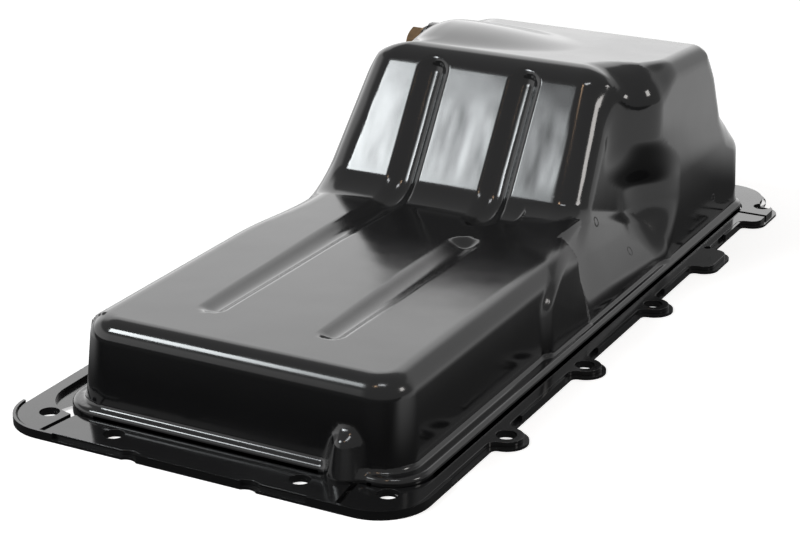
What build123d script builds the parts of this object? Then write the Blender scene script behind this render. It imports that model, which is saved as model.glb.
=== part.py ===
from build123d import *
import math
import os

# Engine oil pan, drawn from sheet steel, standing on its gasket face with the
# sump upwards. X runs across the pan, Y from the shallow front to the deep
# rear, Z up. Lengths along Y are measured from the front edge of the flange.

# Sheets
sheet = 1.6                    # drawn sheet
plate_sheet = 2.6              # stiffener plates on the flange
baffle_sheet = 1.2

# Flange
pan_length = 545.0
rail_half_width = 122.0        # straight rail edge from the centre plane
flange_corner = 28.0
root_radius = 3.5              # inside corners of the flange outline
bolt_hole = 11.0
rail_bolt_line = 123.6         # rail bolts from the centre plane
first_rail_bolt = 110.3
rail_bolt_count = 3
pad_spacing = 87.5             # last rail bolt to the middle of the wide pad
ear_radius = 12.0
lobe_setback = 144.0           # wide pad behind the last rail ear, from the rear edge
lobe_length = 38.0
lobe_out = 13.6                # beyond the rail edge
lobe_corner = 10.0
locator_hole = 4.4
locator_offset = 17.0          # locator hole from the middle of the pad
locator_inset = 3.3            # and inside the rail edge
rear_corner_setback = 36.5     # rear corner bolts from the rear edge
rear_lobe_length = 40.0
rear_lobe_out = 12.6
front_corner_bolt = (101.2, 23.0)
front_bolt = (55.5, 16.5)
rear_bolt_setback = 16.5       # rear middle bolts from the rear edge
scallop_centre = 35.5          # shallow notches in the front edge
scallop_width = 9.0
scallop_depth = 1.8
lip_height = 5.0               # upturned edge, from the gasket face
lip_gap = 23.0                 # lips stop this far from a rail bolt
front_lip_left = 83.0          # ends of the corner lips
front_lip_right = 68.0
front_lip_left_end = 28.0
front_lip_right_end = 51.0

# Stiffener plates
plate_margin = 2.6             # plates stop short of the flange edge
plate_left = 112.0             # inner edges of the strips
plate_right = 113.5
plate_front = 26.0
plate_rear_margin = 26.5
plate_corner = 25.0
plate_top_recess = 2.0         # extra setback of the front plate between its jogs
front_plate_left = 83.0        # ends of the front plate
front_plate_right = 76.0
end_slant = 8.0
side_plate_setback = 55.0      # rail plates end this far from the rear edge
plate_gap = 3.0

# Bowl, at the gasket face unless a height is named
left_wall = 93.0
right_wall = 104.5
sump_right_wall = 107.0
nose_right_wall = 91.5
front_wall = 30.0
rear_wall_margin = 31.0        # rear wall from the rear edge
wall_draft = 4.2
upper_draft = 8.2              # the left wall leans in more above the deck
upper_blend = 110.0
sump_right_draft = 0.8
wall_corner = 20.0
deck_height = 56.5
edge_radius = 11.0             # round along the top edges
left_edge_radius = 20.0        # and along the sump's left side
edge_blend_length = 71.0       # stretch over which the left edge widens
foot_height = 8.5
foot_left = 100.0
foot_right = 112.0
foot_front = 27.0
foot_rear_margin = 28.0
foot_corner = 22.0
foot_edge = 3.0

# Sump
sump_length = 212.0            # rear edge to where slope and sump floor meet
top_height = 136.0             # sump floor at its front edge
top_fall = 4.0                 # degrees the sump floor drops rearwards
slope_angle = 56.0
crease_radius = 25.0
brow_radius = 20.0
shoulder_setback = 30.0        # where the sump widens on the right, behind the slope
shoulder_drop = 52.0           # the shoulder's underside, below the sump floor
pocket_depth = 28.0            # pocket below the shoulder
pocket_drop = 70.0
shoulder_round = 12.0
valley_round = 11.0
sump_corner = 13.0
rear_top_setback = 70.0        # rear profile, back from the rear wall
rear_knee_setback = 51.0
rear_knee_drop = 28.0
rear_waist_setback = 33.0
rear_waist_drop = 58.0
rear_hip_setback = 1.0
rear_hip_drop = 86.0
rear_top_round = 18.0
rear_waist_round = 15.0
rear_hip_round = 20.0

# Side bulge between deck and sump: one value per station along Y
bulge_front = 126.0            # its front end, ahead of the slope's top
bulge_steps = (0.0, 28.0, 83.0, 162.0, 192.0)
bulge_crest_x = (101.0, 91.0, 87.0, 88.0, 88.0)
bulge_crest = (49.0, 62.0, 62.0, 38.0, 23.0)
bulge_back_rise = (8.2, 0.0, 2.0, 0.0, 0.0)
bulge_fall = (8.0, 12.0, 10.0, 0.0, 0.0)
bulge_back = 8.0
bulge_base_height = 15.0
bulge_edge = 4.0

# Stiffening beads, half-round grooves pressed into the outside
bead_radius = 11.5
bead_depth = 4.5
left_bead_x = -33.0
right_bead_x = 44.0
slope_bead_x = 30.0
left_bead_start = 74.0
right_bead_start = 70.0
right_bead_gap = 47.0          # the right groove ends this far from the crease
bead_end_below_top = 12.0      # slope beads stop this far below the sump floor

# Small raised forms
boss_x = 73.5                  # half-cone at the foot of the front wall
boss_radius = 10.0
boss_top = 29.0
boss_top_radius = 3.0
dome_x = -31.0                 # swelling of the sump floor beside the drain
dome_setback = 64.0            # behind the slope's top
dome_half_length = 41.0
dome_half_width = 43.0
dome_rise = 7.0

# Drain
drain_setback = 112.0          # from the rear edge
drain_drop = 29.5              # below the sump floor's front edge
seat_radius = 15.5
seat_proud = 2.5
plug_radius = 7.0
plug_clearance = 0.05
plug_hex = 19.0
plug_head = 8.5
plug_washer_radius = 11.5
plug_washer = 2.0
plug_reach = 9.0               # shank beyond the nut's inner face
gasket_radius = 12.5
gasket_thickness = 2.0
nut_radius = 12.0
nut_length = 9.0

# Oil baffle
baffle_height = 24.0
baffle_skirt = 11.0
baffle_setback = 33.0          # front edge ahead of the slope's top
baffle_rear_margin = 58.0
baffle_narrow = 84.0           # right edge where it passes the side bulge
baffle_window = 62.0
baffle_slot = 8.0
baffle_slot_length = 26.0
baffle_slot_x = 56.0
baffle_slot_pitch = 45.0
fit_gap = 0.3

deep = 20.0                    # how far the forms run below the gasket face
tall = 200.0
lean = math.tan(math.radians(wall_draft))
upper_lean = math.tan(math.radians(upper_draft))
sump_lean = math.tan(math.radians(sump_right_draft))
fall = math.tan(math.radians(top_fall))
slope = math.radians(slope_angle)
rear_wall = pan_length - rear_wall_margin
slope_top = pan_length - sump_length
shoulder_y = slope_top + shoulder_setback
shoulder_height = top_height - shoulder_drop
pocket_height = top_height - pocket_drop
bulge_start = slope_top - bulge_front
drain_y = pan_length - drain_setback
drain_z = top_height - drain_drop
dome_y = slope_top + dome_setback
baffle_front = slope_top - baffle_setback
lobe_centre = pan_length - lobe_setback
rail_bolt_pitch = (lobe_centre - pad_spacing - first_rail_bolt) / (rail_bolt_count - 1)
rear_bolt_y = pan_length - rear_corner_setback
side_plate_rear = pan_length - side_plate_setback
widest = rail_half_width + 40.0
crease_y = slope_top - (top_height - deck_height) / math.tan(slope)
deck_end = crease_y - crease_radius * math.tan(slope / 2) - 10.0
pocket_y = shoulder_y + pocket_depth
edge_blend_start = deck_end - edge_blend_length


def top_z(y):
    return top_height - fall * (y - slope_top)


def profile(points, rounds=(), inset=0.0):
    """Closed outline with some corners rounded, then moved inwards."""
    face = make_face(Polyline(*points, close=True))
    for index, radius in rounds:
        corner = face.vertices().sort_by_distance(Vector(*points[index], 0))[0]
        face = fillet(corner, radius)
    if inset:
        face = offset(face, amount=-inset, kind=Kind.INTERSECTION)
    return face


def along_x(face, start, end):
    return extrude(Plane.YZ.offset(start) * face, amount=end - start)


def along_y(face, start, end):
    return extrude(Plane.XZ.offset(-end) * face, amount=end - start)


def block(x0, x1, y0, y1, z0, z1):
    size = Box(x1 - x0, y1 - y0, z1 - z0, align=(Align.MIN, Align.MIN, Align.MIN))
    return Pos(x0, y0, z0) * size


def section(left, right, right_lean, inset):
    """Cross-section of a drafted body, seen along Y."""
    knee = -left + deck_height * lean
    points = [(-left - deep * lean, -deep), (knee, deck_height), (knee + (tall - deck_height) * upper_lean, tall),
              (right - tall * right_lean, tall), (right + deep * right_lean, -deep)]
    return profile(points, [(1, upper_blend)], inset)


def sharp_edges(solid, wanted):
    """Edges whose two faces meet at an angle, and which lie where wanted."""
    owners = {}
    for face in solid.faces():
        for edge in face.edges():
            owners.setdefault(hash(edge), []).append((face, edge))
    found = []
    for pairs in owners.values():
        if len(pairs) < 2:
            continue
        edge = pairs[0][1]
        point = edge.position_at(0.5)
        angle = pairs[0][0].normal_at(point).get_angle(pairs[1][0].normal_at(point))
        if angle > 4 and wanted(point):
            found.append(edge)
    return found


def rim_edges(body, front, low, side):
    return sharp_edges(body, lambda p: side * p.X > nose_right_wall - 22 and p.Y > front and p.Z > low)


def sump_body(inset):
    """Nose with its slope, and the wider rear of the sump."""
    nose_points = [(deck_end, -deep), (deck_end, deck_height), (crease_y, deck_height),
                   (slope_top, top_height), (pocket_y + sheet * 4, top_z(pocket_y + sheet * 4)),
                   (pocket_y + sheet * 4, -deep)]
    side = profile(nose_points, [(2, crease_radius), (3, brow_radius)], inset)
    if inset:
        lap = deck_height - inset
        side += profile([(deck_end, inset - deep), (deck_end, lap),
                         (deck_end + 2 * inset, lap), (deck_end + 2 * inset, inset - deep)])
    nose = along_x(side, -tall, tall) & along_y(section(left_wall, nose_right_wall, lean, inset), 0, pan_length)
    top_rear = rear_wall - rear_top_setback
    rear_points = [(pocket_y, -deep), (pocket_y, pocket_height), (shoulder_y, shoulder_height),
                   (shoulder_y, top_z(shoulder_y)), (top_rear, top_z(top_rear)),
                   (rear_wall - rear_knee_setback, top_height - rear_knee_drop),
                   (rear_wall - rear_waist_setback, top_height - rear_waist_drop),
                   (rear_wall - rear_hip_setback, top_height - rear_hip_drop), (rear_wall, -deep)]
    rounds = [(1, shoulder_round), (2, shoulder_round), (4, rear_top_round), (5, rear_waist_round),
              (6, rear_waist_round), (7, rear_hip_round)]
    side = profile(rear_points, rounds, inset)
    rear = along_x(side, -tall, tall) & along_y(section(left_wall, sump_right_wall, sump_lean, inset), 0, pan_length)
    body = nose + rear
    base = inset - deep + 1
    widening = (shoulder_y + inset - 1, pocket_y + inset + 1)
    valley = sharp_edges(body, lambda p: nose_right_wall - 12 < p.X < nose_right_wall + 2
                         and widening[0] < p.Y < widening[1] and base < p.Z < top_z(shoulder_y) - inset - 1)
    body = fillet(valley, valley_round + inset)
    corner = sharp_edges(body, lambda p: p.X > sump_right_wall - 8
                         and widening[0] < p.Y < widening[1] and base < p.Z < top_z(shoulder_y) - inset - 3)
    body = fillet(corner, sump_corner - inset)
    body = fillet(rim_edges(body, deck_end + 1, base, 1), edge_radius - inset)
    return fillet(rim_edges(body, deck_end + 1, base, -1), left_edge_radius - inset)


def deck_body(inset):
    """Shallow front box. Its left edge round widens towards the slope."""
    joint = nose_right_wall - 30
    end = crease_y + 16.0
    points = [(front_wall - deep * lean, -deep), (front_wall + deck_height * lean, deck_height),
              (end, deck_height), (end, -deep)]
    side = profile(points, inset=inset)
    box = along_x(side, -tall, tall) & along_y(section(left_wall, right_wall, lean, inset), 0, pan_length)
    uprights = sharp_edges(box, lambda p: p.Y < front_wall + 8 and abs(p.X) > left_wall - 12
                           and inset - deep + 1 < p.Z < deck_height - inset - 1)
    box = fillet(uprights, wall_corner - inset)
    rim = sharp_edges(box, lambda p: p.Z > deck_height - inset - 1 and p.Y < end - inset - 1)
    box = fillet(rim, edge_radius - inset)
    box -= block(-tall, joint, edge_blend_start, pan_length, -tall, tall)
    box -= block(bulge_crest_x[-1] - 4, tall, bulge_start + inset + 2, pan_length, -tall, tall)
    wide = [(-left_wall - deep * lean, -deep), (-left_wall + deck_height * lean, deck_height),
            (joint + inset, deck_height), (joint + inset, -deep)]
    narrow = Plane.XZ.offset(-edge_blend_start) * profile(wide, [(1, edge_radius)], inset)
    broad = Plane.XZ.offset(-deck_end) * profile(wide, [(1, left_edge_radius)], inset)
    return box + loft([narrow, broad], ruled=True)


def bulge_body(inset):
    """Slanted fairing that carries the deck's right wall up to the sump."""
    inner = nose_right_wall - 30
    foot = sump_right_wall - inset
    start_line = bulge_start + inset + 2
    stations = []
    for index, step in enumerate(bulge_steps):
        start = bulge_start + step + (inset if index == 0 else 0)
        crest_x = bulge_crest_x[index] - inset
        crest = bulge_crest[index] - inset
        back = crest + bulge_back_rise[index]
        points = [(inner, start, -deep), (foot, start, -deep), (foot, start, bulge_base_height - inset / 2),
                  (crest_x, start, crest), (crest_x - bulge_back, start, back), (inner, start, back - bulge_fall[index])]
        stations.append(make_face(Polyline(*points, close=True)))
    body = loft(stations)
    crest = sharp_edges(body, lambda p: p.X > nose_right_wall - 10 and p.Z > bulge_crest[-1] and p.Y > start_line)
    return fillet(crest, bulge_edge - inset)


def foot_body(inset):
    """Low step round the bowl where it meets the flange."""
    size = (foot_left + foot_right, pan_length - foot_rear_margin - foot_front)
    centre = ((foot_right - foot_left) / 2, foot_front + size[1] / 2)
    plan = Pos(*centre) * RectangleRounded(size[0] - 2 * inset, size[1] - 2 * inset, foot_corner - inset)
    box = extrude(Pos(0, 0, -deep) * plan, amount=deep + foot_height - inset)
    if inset:
        return box
    return fillet(box.faces().sort_by(Axis.Z)[-1].edges(), foot_edge)


def bead(points, inset):
    """Cutter for a groove: a ball rolled along a path of straight runs and arcs."""
    radius = bead_radius + inset
    path = points
    start = path.position_at(0)
    direction = path.tangent_at(0)
    cutter = sweep(Plane(start, z_dir=direction) * Circle(radius), path=path)
    for end in (0, 1):
        cutter += Pos(*path.position_at(end)) * Sphere(radius)
    return cutter


def beads(inset):
    lift = bead_radius - bead_depth
    deck_line = deck_height + lift
    turn = crease_radius - lift
    bend_start = crease_y - crease_radius * math.tan(slope / 2)
    normal = (-math.sin(slope), math.cos(slope))
    stop_z = top_height - bead_end_below_top
    stop_y = slope_top - (top_height - stop_z) / math.tan(slope)

    def slope_run(x, start_y):
        centre = Vector(x, bend_start, deck_height + crease_radius)
        bend_end = centre + Vector(0, math.sin(slope), -math.cos(slope)) * turn
        middle = centre + Vector(0, math.sin(slope / 2), -math.cos(slope / 2)) * turn
        first = Vector(x, start_y, deck_line)
        bend_first = Vector(x, bend_start, deck_line)
        last = Vector(x, stop_y + normal[0] * lift, stop_z + normal[1] * lift)
        return Wire([Line(first, bend_first), ThreePointArc(bend_first, middle, bend_end),
                     Line(bend_end, last)])

    left = bead(slope_run(left_bead_x, left_bead_start), inset)
    right = bead(slope_run(slope_bead_x, bend_start - 1), inset)
    deck_right = Wire([Line((right_bead_x, right_bead_start, deck_line),
                            (right_bead_x, crease_y - right_bead_gap, deck_line))])
    return [left, right, bead(deck_right, inset)]


def dome_body(inset):
    """Low swelling of the sump floor: the cap of an ellipsoid."""
    depth = 3.0 * dome_rise
    spread = 1 / math.sqrt(1 - ((depth - dome_rise) / depth) ** 2)
    ball = scale(Sphere(1), by=(dome_half_length * spread - inset, dome_half_width * spread - inset, depth - inset))
    ball = Pos(dome_x, dome_y, top_z(dome_y) - depth + dome_rise) * ball
    return ball & block(-tall, tall, 0, pan_length, top_z(dome_y) - 6 - inset, tall)


def drain_seat(inset):
    face_x = -(left_wall - drain_z * lean + seat_proud) + inset
    length = 20.0
    return Pos(face_x + length / 2, drain_y, drain_z) * Rot(0, 90, 0) * Cylinder(seat_radius - inset, length)


def bowl(inset):
    """Outer skin of the bowl, or its inner skin one sheet inwards."""
    body = sump_body(inset) + deck_body(inset)
    body += bulge_body(inset)
    body += foot_body(inset)
    height = boss_top - foot_height
    cone = Cone(boss_radius - inset, boss_top_radius - inset / 2, height, align=(Align.CENTER, Align.CENTER, Align.MIN))
    body += Pos(boss_x, front_wall + 1, foot_height - inset) * Rot(0, 0, 90) * cone
    body += dome_body(inset)
    body += drain_seat(inset)
    for cutter in beads(inset):
        body -= cutter
    return body


def flange_outline():
    """Gasket flange seen from above, with its ears, lobes and scallops."""
    centre = Pos(0, pan_length / 2)
    face = centre * RectangleRounded(2 * rail_half_width, pan_length, flange_corner)
    for side in (-1, 1):
        for index in range(rail_bolt_count):
            y = first_rail_bolt + index * rail_bolt_pitch
            face += Pos(side * rail_bolt_line, y) * Circle(ear_radius)
        reach = lobe_out + 2 * lobe_corner
        x = side * (rail_half_width + lobe_out - reach / 2)
        face += Pos(x, lobe_centre) * RectangleRounded(reach, lobe_length, lobe_corner)
        reach = rear_lobe_out + 2 * lobe_corner
        x = side * (rail_half_width + rear_lobe_out - reach / 2)
        y = rear_bolt_y + bolt_hole / 2 - rear_lobe_length / 2
        face += Pos(x, y) * RectangleRounded(reach, rear_lobe_length, lobe_corner)
    face = offset(offset(face, amount=root_radius, kind=Kind.ARC), amount=-root_radius, kind=Kind.ARC)
    radius = (scallop_width ** 2 / 4 + scallop_depth ** 2) / (2 * scallop_depth)
    for side in (-1, 1):
        face -= Pos(side * scallop_centre, scallop_depth - radius) * Circle(radius)
    return face


def bolt_places():
    rear = pan_length - rear_bolt_setback
    places = []
    for side in (-1, 1):
        places.append((side * front_corner_bolt[0], front_corner_bolt[1]))
        places.append((side * front_bolt[0], front_bolt[1]))
        for index in range(rail_bolt_count):
            places.append((side * rail_bolt_line, first_rail_bolt + index * rail_bolt_pitch))
        places.append((side * rail_bolt_line, rear_bolt_y))
        places.append((side * front_bolt[0], rear))
    return places


def lips(outline):
    """Turned-up edge of the flange, between the bolts."""
    band = extrude(outline - offset(outline, amount=-sheet, kind=Kind.ARC), amount=lip_height)
    middle = scallop_centre - scallop_width / 2
    spans = [block(-middle, middle, -1, 12, 0, lip_height),
             block(front_lip_right, widest, -1, front_lip_right_end, 0, lip_height),
             block(-widest, -front_lip_left, -1, front_lip_left_end, 0, lip_height)]
    bolt = first_rail_bolt
    for index in range(rail_bolt_count - 1):
        spans.append(block(-widest, widest, bolt + lip_gap, bolt + rail_bolt_pitch - lip_gap, 0, lip_height))
        bolt += rail_bolt_pitch
    pad = lobe_centre - lobe_length / 2 - root_radius - 1
    spans.append(block(-widest, widest, bolt + lip_gap, pad, 0, lip_height))
    pad = lobe_centre + lobe_length / 2 + lip_gap
    spans.append(block(-widest, widest, pad, rear_bolt_y + bolt_hole / 2 - rear_lobe_length - root_radius, 0, lip_height))
    return [band & span for span in spans]


def plate_band(outline):
    """Everything the stiffener plates cover together, seen from above."""
    band = offset(outline, amount=-plate_margin, kind=Kind.ARC)
    size = (plate_left + plate_right, pan_length - plate_rear_margin - plate_front)
    centre = ((plate_right - plate_left) / 2, plate_front + size[1] / 2)
    band -= Pos(*centre) * RectangleRounded(*size, plate_corner)
    for hole in holes:
        band -= hole
    return band


def plate(band, points):
    """One plate: the part of the band inside a polygon."""
    face = band & make_face(Polyline(*points, close=True))
    return Pos(0, 0, sheet) * extrude(face, amount=plate_sheet)


def side_section(inset):
    """The lower sump's inside seen along Y, a further inset in from the sheet."""
    return along_y(section(left_wall, sump_right_wall, sump_lean, sheet + inset), baffle_front,
                   rear_wall - baffle_rear_margin)


def baffle():
    """Tray across the sump with skirts turned down against the walls."""
    end = rear_wall - baffle_rear_margin
    low = baffle_height - baffle_skirt
    full = side_section(0) & block(-tall, tall, baffle_front, end, low, baffle_height)
    hollow = side_section(baffle_sheet) & block(-tall, tall, 0, pan_length, 0, baffle_height - baffle_sheet)
    tray = full - hollow
    bends = sharp_edges(tray, lambda p: abs(p.X) > left_wall - 10 and p.Z > baffle_height - 0.2
                        and baffle_front + 5 < p.Y < end - 5)
    tray = fillet(bends, baffle_sheet)
    tray -= block(baffle_narrow, tall, 0, pocket_y + 2 * valley_round, 0, tall)
    middle = (baffle_front + end) / 2
    cut = Pos(0, middle) * RectangleRounded(baffle_window, baffle_window * 0.8, 8)
    for side in (-1, 1):
        for y in (middle - baffle_slot_pitch, middle, middle + baffle_slot_pitch):
            cut += Pos(side * baffle_slot_x, y) * SlotOverall(baffle_slot_length, baffle_slot)
    return tray - extrude(cut, amount=tall)


def drain_set():
    """Plug, gasket and weld nut on the drain axis, which runs out along -X."""
    face_x = -(left_wall - drain_z * lean + seat_proud)
    out = Pos(face_x, drain_y, drain_z) * Rot(0, -90, 0)
    ring = Circle(gasket_radius) - Circle(plug_radius + fit_gap)
    gasket = out * extrude(ring, amount=gasket_thickness)
    base = Pos(0, 0, gasket_thickness)
    hex_face = RegularPolygon(plug_hex / 2, 6, major_radius=False)
    head = extrude(base * Circle(plug_washer_radius), amount=plug_washer)
    body = extrude(base * Pos(0, 0, plug_washer) * hex_face, amount=plug_head)
    crown = Pos(0, 0, gasket_thickness + plug_washer) * Cone(
        plug_hex * 0.577 + plug_head * 1.7, plug_hex * 0.47, plug_head, align=(Align.CENTER, Align.CENTER, Align.MIN))
    body &= crown
    shank_length = sheet + nut_length + plug_reach
    shank = Pos(0, 0, -shank_length) * extrude(Circle(plug_radius - plug_clearance), amount=shank_length + gasket_thickness)
    tip = shank.faces().sort_by(Axis.Z)[0].edges()
    plug = out * (head + body + chamfer(tip, 1.2))
    nut = Circle(nut_radius) - Circle(plug_radius)
    nut = extrude(nut, amount=nut_length)
    nut = chamfer(nut.faces().sort_by(Axis.Z)[0].outer_wire().edges(), 1.0)
    nut = out * Pos(0, 0, -sheet - nut_length) * nut
    hole = out * Pos(0, 0, -sheet * 3) * Cylinder(plug_radius + fit_gap, sheet * 12)
    return plug, gasket, nut, hole


outline = flange_outline()
holes = [Pos(x, y) * Circle(bolt_hole / 2) for x, y in bolt_places()]
for side in (-1, 1):
    place = Pos(side * (rail_half_width - locator_inset), lobe_centre + locator_offset)
    holes.append(place * Circle(locator_hole / 2))
hole_pins = [extrude(Pos(0, 0, -1) * hole, amount=lip_height + 10) for hole in holes]

# The pressing: outer form and flange, less the inner form
flange = extrude(outline, amount=sheet)
for lip in lips(outline):
    flange += lip
outer = bowl(0.0)
inner = bowl(sheet)
pan_shell = (outer & block(-tall, tall, -1, pan_length + 1, 0, tall)) + flange
pan_shell -= inner
for pin in hole_pins:
    pan_shell -= pin
drain_plug, drain_plug_gasket, drain_nut, drain_hole = drain_set()
pan_shell -= drain_hole

# Stiffener plates, spot-welded on top of the flange
band = plate_band(outline)
wide = widest
mid = plate_front + 30
left_end = [(-front_plate_left, mid), (-front_plate_left - end_slant, -5)]
right_end = [(front_plate_right, mid), (front_plate_right + end_slant, -5)]
front_plate = plate(band, [left_end[0], left_end[1], right_end[1], right_end[0]])
left_rail_plate = plate(band, [(-wide, -5), (left_end[1][0] - plate_gap, -5), (left_end[0][0] - plate_gap, mid),
                               (-40, mid), (-40, side_plate_rear), (-wide, side_plate_rear)])
right_rail_plate = plate(band, [(wide, -5), (right_end[1][0] + plate_gap, -5), (right_end[0][0] + plate_gap, mid),
                                (40, mid), (40, side_plate_rear), (wide, side_plate_rear)])
rear_y = side_plate_rear + plate_gap
rear_plate = plate(band, [(-wide, rear_y), (wide, rear_y), (wide, pan_length + 5), (-wide, pan_length + 5)])
oil_baffle = baffle()

nodes = {
    "pan_shell": pan_shell,
    "front_plate": front_plate,
    "left_rail_plate": left_rail_plate,
    "right_rail_plate": right_rail_plate,
    "rear_plate": rear_plate,
    "drain_plug": drain_plug,
    "drain_plug_gasket": drain_plug_gasket,
    "drain_nut": drain_nut,
    "oil_baffle": oil_baffle,
}

os.makedirs("parts", exist_ok=True)
centred = Pos(0, -pan_length / 2, 0)
for name, solid in nodes.items():
    export_step(centred * solid, "parts/" + name + ".step")
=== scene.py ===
import math
import bpy
import bmesh
import numpy as np
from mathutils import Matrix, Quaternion, Vector


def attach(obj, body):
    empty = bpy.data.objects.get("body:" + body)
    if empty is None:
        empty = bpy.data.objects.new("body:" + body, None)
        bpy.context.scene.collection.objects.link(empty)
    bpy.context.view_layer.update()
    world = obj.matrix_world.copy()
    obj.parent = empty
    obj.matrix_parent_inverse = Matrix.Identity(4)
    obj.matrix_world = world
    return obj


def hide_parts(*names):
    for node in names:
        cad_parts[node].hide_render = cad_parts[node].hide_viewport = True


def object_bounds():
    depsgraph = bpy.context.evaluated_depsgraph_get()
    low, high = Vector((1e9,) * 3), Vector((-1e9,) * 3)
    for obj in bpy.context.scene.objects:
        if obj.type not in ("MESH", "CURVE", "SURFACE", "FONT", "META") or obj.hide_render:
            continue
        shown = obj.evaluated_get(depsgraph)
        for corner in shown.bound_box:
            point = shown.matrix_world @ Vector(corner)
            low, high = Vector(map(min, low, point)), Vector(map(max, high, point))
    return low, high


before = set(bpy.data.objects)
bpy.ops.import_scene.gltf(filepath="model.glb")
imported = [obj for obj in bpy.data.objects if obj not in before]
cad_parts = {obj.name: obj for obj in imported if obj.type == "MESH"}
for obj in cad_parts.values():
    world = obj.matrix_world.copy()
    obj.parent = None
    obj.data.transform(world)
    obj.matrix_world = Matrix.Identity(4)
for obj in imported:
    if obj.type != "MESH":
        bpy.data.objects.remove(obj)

mm = 0.001
tiny = 1e-6
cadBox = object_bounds()
panLength = round((cadBox[1][1] - cadBox[0][1]) / mm, 3)
print("stage: frame loaded")


# camera and picture

cameraView = {
    "lens": 97.93,
    "sensor": 36.0,
    "place": (0.5502, -1.0849, 0.4885),
    "pitch": 21.09,          # degrees below the horizon
    "yaw": 27.90,            # degrees to the left of +Y
    "clip": (0.05, 50),
}


def makeCamera(s):
    data = bpy.data.cameras.new("camera")
    data.lens = s["lens"]
    data.sensor_width = s["sensor"]
    data.clip_start, data.clip_end = s["clip"]
    camera = bpy.data.objects.new("camera", data)
    bpy.context.scene.collection.objects.link(camera)
    camera.location = s["place"]
    camera.rotation_euler = (math.radians(90 - s["pitch"]), 0, math.radians(s["yaw"]))
    bpy.context.scene.camera = camera


makeCamera(cameraView)
bpy.context.scene.view_settings.view_transform = "Standard"


# the bowl: one smooth field in mm, below zero inside the metal, Y running from the front flange's edge

bowlShape = {
    "sheet": 1.6,
    "leftWall": 93.0, "deckRight": 104.5, "noseRight": 91.5, "sumpRight": 107.0, "frontWall": 30.0,
    "draft": 4.2, "upperDraft": 8.2, "sumpDraft": 0.8, "draftBlend": 2.5,
    "deckHeight": 56.5, "topHeight": 136.0, "topFall": 4.0, "slopeAngle": 56.0, "slopeTop": 333.0,
    "deckEnd": 292.0, "deckSideEnd": (84.0, 252.0), "sumpStart": 46.0,
    "creaseRound": 11.0, "browRound": 9.5, "cornerRound": 20.0, "rimRound": 11.0, "noseRound": 18.0,
    "leftRimRound": 20.0, "leftRimSpan": (185.0, 256.0),
    "sumpLeftRound": 40.0, "sumpLeftSpan": (330.0, 358.0),
    "shoulderTopRound": 26.0, "shoulderTopSpan": (-15.0, 0.0),    # spans from the shoulder on
    "sumpRound": 12.0, "sumpSpan": (8.0, 38.0),
    "rearCornerRound": 24.0, "rearCornerSpan": (440.0, 480.0),
    "shoulder": 349.0, "shoulderHeight": 92.0, "shoulderRound": 15.0, "valleyRound": (22.0, 30.0),
    "pocketDepth": 29.0, "pocketHeight": 57.0, "pocketReturn": 12.0, "pocketReturnSpan": (46.0, 14.0),
    "pocketTilt": 1.5,
    "rearProfile": ((0.0, 514.0), (50.0, 513.0), (78.0, 481.0), (108.0, 463.0), (128.4, 444.0)),
    "rearRound": 6.0, "rearBlur": 9,
    "footHeight": 8.5, "footLeft": 100.0, "footRight": 112.0, "footFront": 27.0, "footRear": 517.0,
    "footCorner": 22.0, "footRound": 3.0, "footBlend": 2.5,
}

bulgeShape = {
    "along": (204.0, 214.0, 233.0, 254.0, 285.0, 360.0, 390.0),
    "crestAcross": (106.0, 104.0, 98.0, 90.0, 86.0, 88.0, 88.0),
    "crestHeight": (38.0, 48.0, 54.0, 58.0, 62.0, 38.0, 23.0),
    "backSlope": (28.0, 22.0, 12.0, 6.0, 4.0, 0.0, 0.0),      # degrees, down towards the wall
    "crestBlur": 16, "slopeBlur": 12,
    "base": 15.0, "reach": 107.0, "thickness": 30.0,
    "round": 4.5, "foot": 3.0, "frontRound": 3.0,
    "blend": 7.0, "leastBlend": 0.01, "blendEnd": (372.0, 384.0),
}

beadShape = {
    "deckRadius": (7.6, 10.5), "deckDepth": (2.4, 4.0), "radius": 9.8, "depth": 4.6,
    "lips": (3.4, 2.2), "lipBlend": 6.0, "endBelowTop": 12.0, "flareEnd": 30.0,
    "leftLine": (-32.0, 80.0), "leftDrift": 3.0, "driftSpan": (200.0, 300.0),
    "rightLine": (41.0, 78.0, 227.0), "rightPart": 245.0, "slopeLine": 32.0,
}

domeShape = {
    "across": -47.0, "along": 382.0, "leftWidth": 15.0, "rightWidth": 56.0, "halfLength": 29.0,
    "rise": 5.7, "depthShare": 3.2, "blend": 7.0,
}

bossShape = {
    "across": 73.5, "along": 31.0, "radius": 10.5, "topRadius": 5.5, "bottom": 6.0, "top": 27.0,
    "crown": 5.0, "blend": 5.0,
}

seatShape = {
    "along": 433.0, "height": 106.5, "radius": 15.5, "proud": 2.5, "edge": 1.5, "innerSide": -60.0,
    "blend": 3.0,
}

farAway = 1000.0


def cutRound(a, b, r):           # what lies in both, its edge rounded
    u = np.maximum(a + r, 0)
    v = np.maximum(b + r, 0)
    return np.minimum(-r, np.maximum(a, b)) + np.sqrt(u * u + v * v)


def joinRound(a, b, r):          # what lies in either, the corner between them filled
    u = np.maximum(r - a, 0)
    v = np.maximum(r - b, 0)
    return np.maximum(r, np.minimum(a, b)) - np.sqrt(u * u + v * v)


def ease(t):
    t = np.clip(t, 0, 1)
    return t * t * (3 - 2 * t)


def between(value, start, end):
    return ease((value - start) / (end - start))


def softCurve(points, values, at, blur, spare=60):
    line = np.arange(points[0] - spare, points[-1] + spare, 1.0)
    raw = np.interp(line, points, values)
    kernel = np.hanning(2 * blur + 1)
    kernel /= kernel.sum()
    padded = np.concatenate([np.full(len(kernel), raw[0]), raw, np.full(len(kernel), raw[-1])])
    smooth = np.convolve(padded, kernel, mode="same")[len(kernel):-len(kernel)]
    return np.interp(at, line, smooth)


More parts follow.
